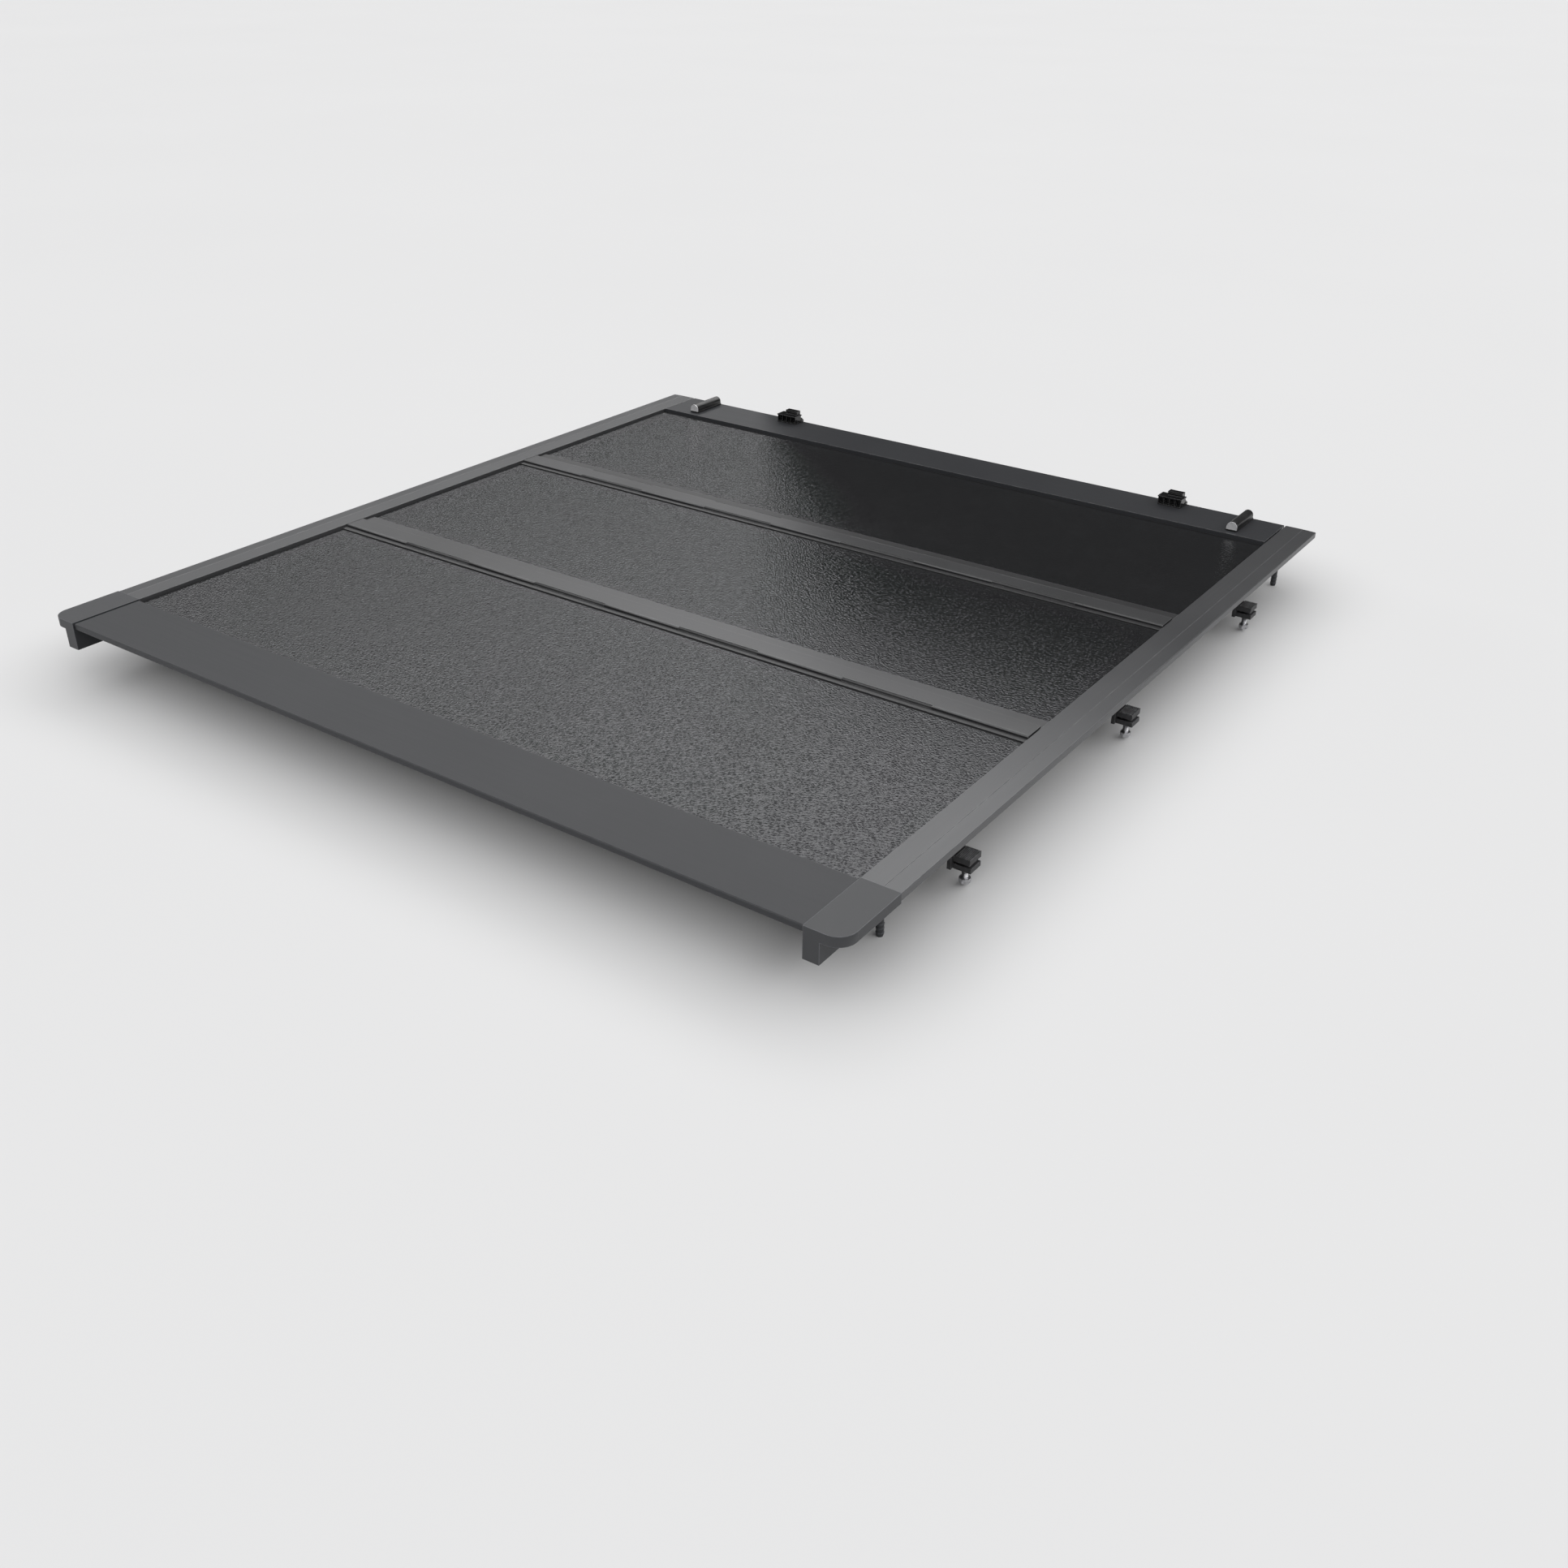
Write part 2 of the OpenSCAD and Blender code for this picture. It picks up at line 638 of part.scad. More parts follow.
// bolt for the right side, at rest drawn back clear of the rail's shelf
module latch_bolt() translate([0, latch_y - latch_row, 0]) difference() {
    union() {
        slab(-9, 14, -10, 10, latch_rod_z[0] + 3, latch_rod_z[1]);
        slab(10, latch_tip, -latch_rod_w / 2, latch_rod_w / 2, latch_rod_z[0], latch_rod_z[1]);
    }
    slab(-latch_pin_r - latch_slot_play, latch_pin_r + latch_slot_play + 1,
        latch_row - latch_arm - latch_pin_r - latch_slot_play, latch_row - latch_arm + 10,
        latch_rod_z[0] - 1, latch_rod_z[1] + 1);
}

module right_latch_bolt() seat() color([0.6, 0.6, 0.62]) latch_bolt();
module left_latch_bolt() seat() color([0.6, 0.6, 0.62])
    translate([0, 2 * latch_y, 0]) rotate([0, 0, 180]) latch_bolt();

// ---- nodes ----

module left_rail() seat() color([0.3, 0.31, 0.32]) left() rail();
module right_rail() seat() color([0.3, 0.31, 0.32]) rail();
module left_corner_cap() seat() color([0.12, 0.12, 0.13]) left() corner_cap();
module right_corner_cap() seat() color([0.12, 0.12, 0.13]) corner_cap();

left_rail();
right_rail();
rear_header();
left_corner_cap();
right_corner_cap();
tailgate_seal();
bed_seals();
panel_seals();
front_bar();
bulkhead_seal();
pivot_blocks();
clamp_bodies();
clamp_screws();
drain_spigots();
prop_stops();
clamp_jaw(0);  // clamp_jaw_1
clamp_jaw(1);  // clamp_jaw_2
clamp_jaw(2);  // clamp_jaw_3
clamp_jaw(3);  // clamp_jaw_4
clamp_jaw(4);  // clamp_jaw_5
clamp_jaw(5);  // clamp_jaw_6
clamp_bolt(0);  // clamp_bolt_1
clamp_bolt(1);  // clamp_bolt_2
clamp_bolt(2);  // clamp_bolt_3
clamp_bolt(3);  // clamp_bolt_4
clamp_bolt(4);  // clamp_bolt_5
clamp_bolt(5);  // clamp_bolt_6
front_strip();
front_skin();
front_board();
front_edge_trims();
front_hinge_rail();
left_bumper();
right_bumper();
left_bumper_plate();
right_bumper_plate();
left_stow_clip();
right_stow_clip();
pivot_pins();
prop_brackets();
prop_pins();
left_prop_rod();
right_prop_rod();
hinge_link();
hinge_link_pins();
middle_skin();
middle_board();
middle_edge_trims();
middle_hinge_rail();
middle_hinge_strip();
rear_hinge_pin();
rear_skin();
rear_board();
rear_edge_trims();
rear_hinge_rail();
latch_base();
latch_lever();
left_latch_bolt();
right_latch_bolt();
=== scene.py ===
"""Looks of the hard folding tonneau cover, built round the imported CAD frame. All lengths are in metres."""

import json
import math

import bmesh
import bpy
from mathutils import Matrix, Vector


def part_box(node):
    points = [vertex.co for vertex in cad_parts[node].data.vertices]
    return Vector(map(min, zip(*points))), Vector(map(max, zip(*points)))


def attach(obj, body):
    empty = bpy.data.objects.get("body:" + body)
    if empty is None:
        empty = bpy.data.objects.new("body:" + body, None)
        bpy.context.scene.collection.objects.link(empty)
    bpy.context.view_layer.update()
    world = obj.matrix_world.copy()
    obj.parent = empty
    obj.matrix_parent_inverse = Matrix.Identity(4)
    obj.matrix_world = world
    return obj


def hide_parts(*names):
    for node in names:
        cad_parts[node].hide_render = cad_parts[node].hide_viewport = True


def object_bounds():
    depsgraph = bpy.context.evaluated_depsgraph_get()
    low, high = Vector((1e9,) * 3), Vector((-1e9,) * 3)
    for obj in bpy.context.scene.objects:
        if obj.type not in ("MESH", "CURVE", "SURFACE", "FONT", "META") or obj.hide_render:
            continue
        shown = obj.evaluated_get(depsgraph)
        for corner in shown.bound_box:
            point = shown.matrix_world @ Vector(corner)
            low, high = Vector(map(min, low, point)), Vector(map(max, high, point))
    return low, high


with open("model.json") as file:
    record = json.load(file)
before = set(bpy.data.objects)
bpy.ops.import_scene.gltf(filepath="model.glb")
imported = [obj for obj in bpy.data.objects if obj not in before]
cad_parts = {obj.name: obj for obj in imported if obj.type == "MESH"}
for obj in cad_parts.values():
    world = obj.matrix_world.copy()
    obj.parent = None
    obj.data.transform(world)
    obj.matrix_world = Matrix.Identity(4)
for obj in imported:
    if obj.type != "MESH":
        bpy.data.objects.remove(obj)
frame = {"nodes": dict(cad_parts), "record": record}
cad_low, cad_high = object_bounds()
nodes = frame["nodes"]

# ---- places taken from the frame ----

TOP_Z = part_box("rear_header")[1].z
CENTRE = Vector((0, (cad_low.y + cad_high.y) / 2, TOP_Z))
FLOOR_Z = cad_low.z


# ---- shader building ----

class Shader:
    """A material's node tree with short calls for the nodes used here."""

    def __init__(self, name):
        self.material = bpy.data.materials.new(name)
        self.material.use_nodes = True
        self.tree = self.material.node_tree
        self.surface = self.tree.nodes["Principled BSDF"]
        self.place = self.add("ShaderNodeTexCoord").outputs["Object"]

    def add(self, kind, **settings):
        node = self.tree.nodes.new(kind)
        for key, value in settings.items():
            setattr(node, key, value)
        return node

    def link(self, source, target):
        self.tree.links.new(source, target)

    def put(self, socket, value):
        """Gives a socket a number, a colour or another node's output."""
        if isinstance(value, bpy.types.NodeSocket):
            self.link(value, socket)
        else:
            socket.default_value = value

    def finish(self, **values):
        """Sets the surface's own sockets: plain numbers stay plain."""
        for key, value in values.items():
            self.put(self.surface.inputs[key.replace("_", " ")], value)
        return self.material

    def stretched(self, x=1.0, y=1.0, z=1.0):
        node = self.add("ShaderNodeMapping")
        self.link(self.place, node.inputs["Vector"])
        node.inputs["Scale"].default_value = (x, y, z)
        return node.outputs["Vector"]

    def noise(self, scale, detail=3.0, rough=0.55, distortion=0.0, place=None):
        node = self.add("ShaderNodeTexNoise")
        self.link(place or self.place, node.inputs["Vector"])
        node.inputs["Scale"].default_value = scale
        node.inputs["Detail"].default_value = detail
        node.inputs["Roughness"].default_value = rough
        node.inputs["Distortion"].default_value = distortion
        return node.outputs["Fac"]

    def cells(self, scale, feature="F1", place=None):
        node = self.add("ShaderNodeTexVoronoi", feature=feature)
        self.link(place or self.place, node.inputs["Vector"])
        node.inputs["Scale"].default_value = scale
        return node.outputs["Distance"]

    def math(self, operation, a, b):
        node = self.add("ShaderNodeMath", operation=operation)
        self.put(node.inputs[0], a)
        self.put(node.inputs[1], b)
        return node.outputs[0]

    def spread(self, value, low, high, to_low=0.0, to_high=1.0):
        """Maps low..high of a value to to_low..to_high, held at both ends."""
        node = self.add("ShaderNodeMapRange")
        self.put(node.inputs["Value"], value)
        for key, number in zip(("From Min", "From Max", "To Min", "To Max"), (low, high, to_low, to_high)):
            node.inputs[key].default_value = number
        return node.outputs["Result"]

    def mix(self, share, first, second):
        """A colour between two colours."""
        node = self.add("ShaderNodeMix", data_type="RGBA")
        self.put(node.inputs[0], share)
        self.put(node.inputs[6], (*first, 1) if isinstance(first, tuple) else first)
        self.put(node.inputs[7], (*second, 1) if isinstance(second, tuple) else second)
        return node.outputs[2]

    def warped(self, scale, amount):
        """The place, pushed about by a noise, so that cells lose their straight walls."""
        noise = self.add("ShaderNodeTexNoise")
        self.link(self.place, noise.inputs["Vector"])
        noise.inputs["Scale"].default_value = scale
        push = self.add("ShaderNodeVectorMath", operation="SCALE")
        self.link(noise.outputs["Color"], push.inputs[0])
        push.inputs["Scale"].default_value = amount
        total = self.add("ShaderNodeVectorMath", operation="ADD")
        self.link(self.place, total.inputs[0])
        self.link(push.outputs[0], total.inputs[1])
        return total.outputs[0]

    def bump(self, height, depth, strength=1.0, under=None):
        node = self.add("ShaderNodeBump")
        node.inputs["Strength"].default_value = strength
        node.inputs["Distance"].default_value = depth
        self.link(height, node.inputs["Height"])
        if under is not None:
            self.link(under, node.inputs["Normal"])
        return node.outputs["Normal"]

    def edges(self, radius):
        """1 where the surface turns sharply within the radius, else 0: the mask for worn edges and for painted
        edge highlights.
        """
        rounded = self.add("ShaderNodeBevel", samples=4)
        rounded.inputs["Radius"].default_value = radius
        plain = self.add("ShaderNodeNewGeometry")
        dot = self.add("ShaderNodeVectorMath", operation="DOT_PRODUCT")
        self.link(rounded.outputs["Normal"], dot.inputs[0])
        self.link(plain.outputs["Normal"], dot.inputs[1])
        return self.spread(dot.outputs["Value"], 0.995, 0.9, 0.0, 1.0)


# ---- materials ----

def grained_skin():
    """Glass fibre skin with a fine leather-like grain, painted shade in its creases and a satin face."""
    s = Shader("grained_skin")
    place = s.warped(110, 0.004)
    crease = s.cells(180, "DISTANCE_TO_EDGE", place)
    swell = s.noise(150, 2, 0.5)
    fine = s.noise(1300, 2)
    height = s.math("ADD", s.spread(crease, 0.0, 0.42), s.math("MULTIPLY", swell, 0.9))
    height = s.math("ADD", height, s.math("MULTIPLY", fine, 0.06))
    cloud = s.noise(3.2, 4, 0.6)
    dust = s.noise(26, 5, 0.7)
    # The grain's creases are painted darker: painted shade in the creases.
    colour = s.mix(s.spread(crease, 0.0, 0.15), (0.006, 0.006, 0.0065), (0.010, 0.0103, 0.011))
    colour = s.mix(s.spread(dust, 0.52, 0.8, 0.0, 0.30), colour, (0.022, 0.0225, 0.024))
    rough = s.math("ADD", s.spread(cloud, 0.3, 0.7, 0.20, 0.24), s.spread(fine, 0.3, 0.7, -0.02, 0.03))
    return s.finish(Base_Color=colour, Roughness=rough, Normal=s.bump(height, 0.00042, 0.85),
                    Specular_Tint=(0.935, 0.95, 1.0, 1.0))


def coated_metal(name, dark, light, rough, along="y", sheen=0.5, metallic=0.0):
    """Satin black coat on an extrusion, with faint draw lines along it and worn edges, lightened further as a
    painted edge highlight.
    """
    s = Shader(name)
    if along == "y":
        lines_place = s.stretched(1, 0.01, 1)
    else:
        lines_place = s.stretched(0.01, 1, 1)
    lines = s.noise(620, 2, 0.5, place=lines_place)
    peel = s.noise(700, 3, 0.6)
    cloud = s.noise(2.6, 4, 0.6)
    speck = s.noise(2200, 1)
    colour = s.mix(s.spread(cloud, 0.35, 0.7), dark, light)
    colour = s.mix(s.spread(speck, 0.62, 0.8, 0.0, 0.5), colour, tuple(2.2 * c for c in light))
    # Edges lightened towards light grey: partly a worn coat, partly a painted edge highlight.
    lightened_edges = s.math("MULTIPLY", s.edges(0.0014), s.spread(s.noise(60, 4, 0.7), 0.40, 0.60, 0.35, 0.9))
    colour = s.mix(lightened_edges, colour, (0.20, 0.20, 0.205))
    roughness = s.math("ADD", s.spread(cloud, 0.3, 0.7, rough - 0.03, rough + 0.04),
                       s.spread(lines, 0.3, 0.7, -0.02, 0.02))
    normal = s.bump(lines, 0.000005, 0.6, s.bump(peel, 0.000015, 0.6))
    return s.finish(Base_Color=colour, Metallic=metallic, Roughness=roughness, Normal=normal,
                    Specular_IOR_Level=sheen)


def moulded_plastic(name, dark, light, rough, grain=1100):
    """Matte moulded plastic with a spark-eroded texture and a painted highlight on its edges."""
    s = Shader(name)
    grit = s.noise(grain, 3, 0.65)
    cloud = s.noise(7, 4, 0.6)
    colour = s.mix(s.spread(cloud, 0.35, 0.7), dark, light)
    # Every sharp edge is lightened fourfold: a painted edge highlight.
    colour = s.mix(s.math("MULTIPLY", s.edges(0.0014), 0.8), colour, tuple(4.0 * c for c in light))
    roughness = s.math("ADD", s.spread(cloud, 0.3, 0.7, rough - 0.04, rough + 0.05),
                       s.spread(grit, 0.3, 0.7, -0.04, 0.04))
    return s.finish(Base_Color=colour, Roughness=roughness, Normal=s.bump(grit, 0.00005, 0.7))


def gloss_plastic():
    """Glossy black plastic with faint flow waves, fine scuffs and a painted highlight on its edges."""
    s = Shader("gloss_plastic")
    wave = s.noise(120, 2)
    scuff = s.noise(900, 4, 0.7, place=s.stretched(1, 0.15, 1))
    roughness = s.spread(scuff, 0.55, 0.75, 0.13, 0.34)
    colour = s.mix(s.spread(scuff, 0.6, 0.8, 0.0, 0.5), (0.006, 0.006, 0.0065), (0.03, 0.03, 0.031))
    # Every sharp edge is lightened towards pale grey: a painted edge highlight.
    colour = s.mix(s.math("MULTIPLY", s.edges(0.0008), 0.8), colour, (0.17, 0.17, 0.172))
    return s.finish(Base_Color=colour, Roughness=roughness, Normal=s.bump(wave, 0.00006, 0.4))


def rubber(name, base, rough, pore=1600):
    """Black rubber with a powdery bloom."""
    s = Shader(name)
    pores = s.noise(pore, 3, 0.6)
    bloom = s.noise(45, 5, 0.65)
    colour = s.mix(s.spread(bloom, 0.4, 0.75, 0.0, 0.7), base, tuple(2.6 * c for c in base))
    roughness = s.spread(bloom, 0.3, 0.7, rough - 0.05, rough + 0.06)
    return s.finish(Base_Color=colour, Roughness=roughness, Normal=s.bump(pores, 0.00006, 0.6))


def foam():
    """Closed-cell foam strip."""
    s = Shader("bed_foam")
    cell = s.cells(900)
    colour = s.mix(s.spread(cell, 0.1, 0.6), (0.008, 0.008, 0.008), (0.024, 0.024, 0.024))
    return s.finish(Base_Color=colour, Roughness=s.spread(cell, 0.0, 0.6, 0.92, 0.78),
                    Normal=s.bump(cell, 0.0004, 0.7))


def zinc_steel():
    """Zinc plated steel with turning marks, dull patches and stains."""
    s = Shader("zinc_steel")
    lines = s.noise(1200, 2, 0.6, place=s.stretched(0.05, 1, 1))
    patch = s.cells(240, "F1", s.warped(90, 0.004))
    stain = s.noise(38, 5, 0.7)
    colour = s.mix(s.spread(patch, 0.1, 0.7), (0.40, 0.40, 0.41), (0.58, 0.58, 0.60))
    colour = s.mix(s.spread(stain, 0.56, 0.8, 0.0, 0.6), colour, (0.16, 0.15, 0.14))
    roughness = s.math("ADD", s.spread(patch, 0.1, 0.7, 0.28, 0.42), s.spread(lines, 0.3, 0.7, -0.04, 0.06))
    return s.finish(Base_Color=colour, Metallic=1.0, Roughness=roughness, Normal=s.bump(lines, 0.00002, 0.5))


def satin_silver():
    """Bright satin end plate with fine vertical brushing."""
    s = Shader("satin_silver")
    lines = s.noise(1600, 2, 0.6, place=s.stretched(1, 1, 0.04))
    smudge = s.noise(160, 4, 0.7)
    colour = s.mix(s.spread(smudge, 0.45, 0.75), (0.62, 0.62, 0.63), (0.48, 0.48, 0.49))
    roughness = s.math("ADD", s.spread(smudge, 0.3, 0.7, 0.38, 0.48), s.spread(lines, 0.3, 0.7, -0.04, 0.05))
    return s.finish(Base_Color=colour, Metallic=0.35, Roughness=roughness, Normal=s.bump(lines, 0.00002, 0.6))


def cast_metal():
    """Cast clamp metal under a black powder coat, chipped at its edges."""
    s = Shader("cast_metal")
    pebble = s.noise(520, 4, 0.65)
    chip = s.noise(150, 5, 0.75)
    lightened_edges = s.math("MULTIPLY", s.edges(0.0012), s.spread(chip, 0.45, 0.6, 0.0, 0.9))
    colour = s.mix(s.spread(chip, 0.3, 0.7), (0.018, 0.018, 0.019), (0.034, 0.034, 0.036))
    colour = s.mix(lightened_edges, colour, (0.22, 0.22, 0.23))
    return s.finish(Base_Color=colour, Roughness=s.spread(pebble, 0.3, 0.7, 0.44, 0.58),
                    Normal=s.bump(pebble, 0.00018, 0.7))


def board_back():
    """Black fleece-textured backing on the underside of a panel."""
    s = Shader("board_back")
    fibre = s.noise(420, 5, 0.7, 1.2)
    cloud = s.noise(9, 4, 0.6)
    colour = s.mix(s.spread(fibre, 0.35, 0.7), (0.010, 0.010, 0.010), (0.026, 0.026, 0.027))
    colour = s.mix(s.spread(cloud, 0.5, 0.8, 0.0, 0.4), colour, (0.036, 0.036, 0.037))
    return s.finish(Base_Color=colour, Roughness=s.spread(fibre, 0.3, 0.7, 0.78, 0.92),
                    Normal=s.bump(fibre, 0.0003, 0.6))


MATERIALS = {
    "rail": coated_metal("rail_coat", (0.068, 0.069, 0.072), (0.080, 0.081, 0.084), 0.37, "y", 0.7, 0.4),
    "header": coated_metal("header_coat", (0.0275, 0.0285, 0.0315), (0.032, 0.033, 0.036), 0.42, "x", 0.27),
    "strip": coated_metal("strip_coat", (0.055, 0.0555, 0.057), (0.066, 0.0665, 0.069), 0.32, "x", 0.7, 0.35),
    "frame_metal": coated_metal("frame_coat", (0.020, 0.020, 0.021), (0.027, 0.027, 0.028), 0.42, "x"),
    "skin": grained_skin(),
    "core": board_back(),
    "cap_plastic": moulded_plastic("cap_plastic", (0.028, 0.029, 0.032), (0.035, 0.0365, 0.040), 0.46),
    "seal_rubber": rubber("seal_rubber", (0.006, 0.006, 0.006), 0.62),
    "bed_foam": foam(),
    "bumper_rubber": rubber("bumper_rubber", (0.009, 0.009, 0.009), 0.34),
    "bumper_plate": satin_silver(),
    "clip_plastic": gloss_plastic(),
    "clamp_metal": cast_metal(),
    "steel": zinc_steel(),
    "latch_plastic": moulded_plastic("latch_plastic", (0.014, 0.014, 0.015), (0.020, 0.020, 0.021), 0.5),
}

for row in frame["record"]["subparts"]:
    mesh = nodes[row["node"]].data
    mesh.materials.clear()
    mesh.materials.append(MATERIALS[row["material_slot"]])


# ---- edges of the CAD pieces ----

def weld(ob):
    """Joins points that lie on each other."""
    modifier = ob.modifiers.new("weld", "WELD")
    modifier.merge_threshold = 1e-6


def round_edges(ob, width, angle):
    """Adds a small bevel wherever faces meet at more than the angle."""
    bevel = ob.modifiers.new("round_edges", "BEVEL")
    bevel.width = width
    bevel.segments = 2
    bevel.limit_method = "ANGLE"
    bevel.angle_limit = math.radians(angle)
    bevel.harden_normals = True


def soften(node, width):
    """Rounds a CAD piece's sharp edges so that they catch the light."""
    ob = nodes[node]
    weld(ob)
    merge = ob.modifiers.new("merge_flat_faces", "DECIMATE")
    merge.decimate_type = "DISSOLVE"
    merge.angle_limit = math.radians(0.4)
    round_edges(ob, width, 30)


EDGE_WIDTHS = {
    "left_rail": 0.0007, "right_rail": 0.0007, "rear_header": 0.0007,
    "left_corner_cap": 0.0016, "right_corner_cap": 0.0016,
    "middle_hinge_strip": 0.0004, "hinge_link": 0.0004, "rear_hinge_rail": 0.0004,
    "middle_hinge_rail": 0.0004, "front_hinge_rail": 0.0004,
    "rear_edge_trims": 0.0005, "middle_edge_trims": 0.0005, "front_edge_trims": 0.0005,
    "front_bar": 0.001, "clamp_bodies": 0.001, "prop_stops": 0.0006, "prop_brackets": 0.0004,
    "bed_seals": 0.0012, "latch_base": 0.0005,
    "left_latch_bolt": 0.0006, "right_latch_bolt": 0.0006, "pivot_blocks": 0.0008,
    "rear_skin": 0.0002, "middle_skin": 0.0002, "front_skin": 0.0002,
}
for node_name, edge_width in EDGE_WIDTHS.items():
    soften(node_name, edge_width)


# ---- mesh building ----

def placed(name, data):
    """Puts a new mesh or camera into the scene."""
    ob = bpy.data.objects.new(name, data)
    bpy.context.scene.collection.objects.link(ob)
    return ob


def piece(name, bm, slot_name, body, node, round_by=0.0, smooth=35.0):
    """Finishes a modelled piece: its material, shading and edges, the body it moves with, the node it replaces."""
    bmesh.ops.recalc_face_normals(bm, faces=bm.faces)
    mesh = bpy.data.meshes.new(name)
    bm.to_mesh(mesh)
    bm.free()
    mesh.materials.append(MATERIALS[slot_name])
    mesh.shade_smooth()
    mesh.set_sharp_from_angle(angle=math.radians(smooth))
    ob = placed(name, mesh)
    if round_by:
        round_edges(ob, round_by, 35)
        weld(ob)
    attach(ob, body)
    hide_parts(node)


def prism(bm, outline, start, end, place):
    """A bar with the given outline of (u, v) points; place(u, v, w) gives the point at length w."""
    rings = [[bm.verts.new(place(u, v, w)) for u, v in outline] for w in (start, end)]
    count = len(outline)
    for i in range(count):
        k = (i + 1) % count
        bm.faces.new((rings[0][i], rings[0][k], rings[1][k], rings[1][i]))
    bm.faces.new(rings[0][::-1])
    bm.faces.new(rings[1])


def lathe(bm, profile, centre, steps=32, turn=lambda x, y, z: (x, y, z), close=True):
    """A turned piece: profile of (radius, height), about the turned Z axis through the centre."""
    rings = []
    for radius, height in profile:
        ring = []
        for i in range(steps):
            a = 2 * math.pi * i / steps
            ring.append(bm.verts.new(Vector(centre) + Vector(turn(
                radius * math.cos(a), radius * math.sin(a), height))))
        rings.append(ring)
    for low, high in zip(rings, rings[1:]):
        for i in range(steps):
            k = (i + 1) % steps
            bm.faces.new((low[i], low[k], high[k], high[i]))
    if close:
        bm.faces.new(rings[0][::-1])
        bm.faces.new(rings[-1])


def block(bm, low, high):
    """A plain part of a larger moulding, between two corners."""
    x0, y0, z0 = low
    x1, y1, z1 = high
    prism(bm, [(x0, y0), (x1, y0), (x1, y1), (x0, y1)], z0, z1, lambda u, v, w: (u, v, w))


def sweep(bm, path, radius, steps=16):
    """A round rod along a path of points."""
    rings = []
    side = Vector((0, 0, 1))
    for i, point in enumerate(path):
        before, after = path[max(i - 1, 0)], path[min(i + 1, len(path) - 1)]
        ahead = (after - before).normalized()
        across = ahead.cross(side).normalized()
        rings.append([bm.verts.new(point + radius * (
            math.cos(2 * math.pi * k / steps) * across + math.sin(2 * math.pi * k / steps) * side))
            for k in range(steps)])
    for low, high in zip(rings, rings[1:]):
        for k in range(steps):
            m = (k + 1) % steps
            bm.faces.new((low[k], low[m], high[m], high[k]))
    bm.faces.new(rings[0][::-1])
    bm.faces.new(rings[-1])


# ---- bumpers ----

def arch(half, foot, top, steps=20):
    """Outline of a bumper above its foot: upright sides under a half-round top."""
    centre = top - half
    points = [(half * math.cos(math.pi * i / steps), centre + half * math.sin(math.pi * i / steps))
              for i in range(steps + 1)]
    return [(half, foot)] + points + [(-half, foot)]


for side in ("left", "right"):
    low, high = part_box(f"{side}_bumper")
    plate_low, plate_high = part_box(f"{side}_bumper_plate")
    mid = (low.x + high.x) / 2
    half = (high.x - low.x) / 2
    foot = 0.0036
    tall = high.z - low.z

    def along(u, v, w, mid=mid, base=low.z):
        return (mid + u, w, base + v)

    bm = bmesh.new()
    prism(bm, [(-half, 0), (half, 0), (half, foot), (-half, foot)], plate_low.y, high.y, along)
    prism(bm, arch(half - 0.0007, foot - 0.0006, tall), plate_high.y - 0.0004, high.y - 0.0015, along)
    piece(f"{side}_bumper_body", bm, "bumper_rubber", "front_panel", f"{side}_bumper", 0.0009)

    bm = bmesh.new()
    prism(bm, arch(half - 0.0004, foot, tall), plate_low.y, plate_high.y, along)
    face = min(bm.faces, key=lambda f: f.calc_center_median().y)
    bmesh.ops.inset_region(bm, faces=[face], thickness=0.0016, depth=0.0)
    bmesh.ops.translate(bm, verts=face.verts, vec=(0, 0.0005, 0))
    piece(f"{side}_bumper_end_plate", bm, "bumper_plate", "front_panel", f"{side}_bumper_plate", 0.0003)


# ---- stow clips ----

for side in ("left", "right"):
    low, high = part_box(f"{side}_stow_clip")
    x, y, z = (low.x + high.x) / 2 - 0.0005, low.y + 0.001, low.z

    def at(a, b, c, x=x, y=y, z=z):
        return (x + a / 1000, y + b / 1000, z + c / 1000)

    bm = bmesh.new()
    block(bm, at(-25, 0, 0), at(25, 25, 2.4))
    block(bm, at(-25, 9, 2.2), at(25, 25, 17.5))
    for k in range(5):
        rib = -24.2 + 12.1 * k
        prism(bm, [(-0.2, 2.2), (9.5, 2.2), (9.5, 17.2), (1.2, 17.2)], rib - 0.8, rib + 0.8,
              lambda u, v, w, at=at: at(w, u, v))
    block(bm, at(-26, -0.8, 16.8), at(26, 26.5, 19))
    for a, b in (((-10, 12, 18.6), (-7.2, 26, 26.6)), ((19.2, 12, 18.6), (22, 26, 26.6)),
                 ((-10, 12, 25.8), (22, 26, 28)), ((-8, 12, 18.6), (20, 26, 20.6))):
        block(bm, at(*a), at(*b))
    lathe(bm, [(0.0013, -0.0135), (0.0017, -0.013), (0.0017, 0.013), (0.0013, 0.0135)], at(6, 15, 23.2), 16,
          lambda p, q, r: (r, p, q))
    block(bm, at(-15, 24.5, 0), at(26.5, 34, 6.5))
    prism(bm, [(24.5, 6), (34, 6), (31.5, 10), (24.5, 10)], -0.012, 0.024,
          lambda u, v, w, at=at: (at(0, 0, 0)[0] + w, at(0, u, 0)[1], at(0, 0, v)[2]))
    piece(f"{side}_stow_clip_moulding", bm, "clip_plastic", "front_panel", f"{side}_stow_clip", 0.00035)


# ---- clamps ----

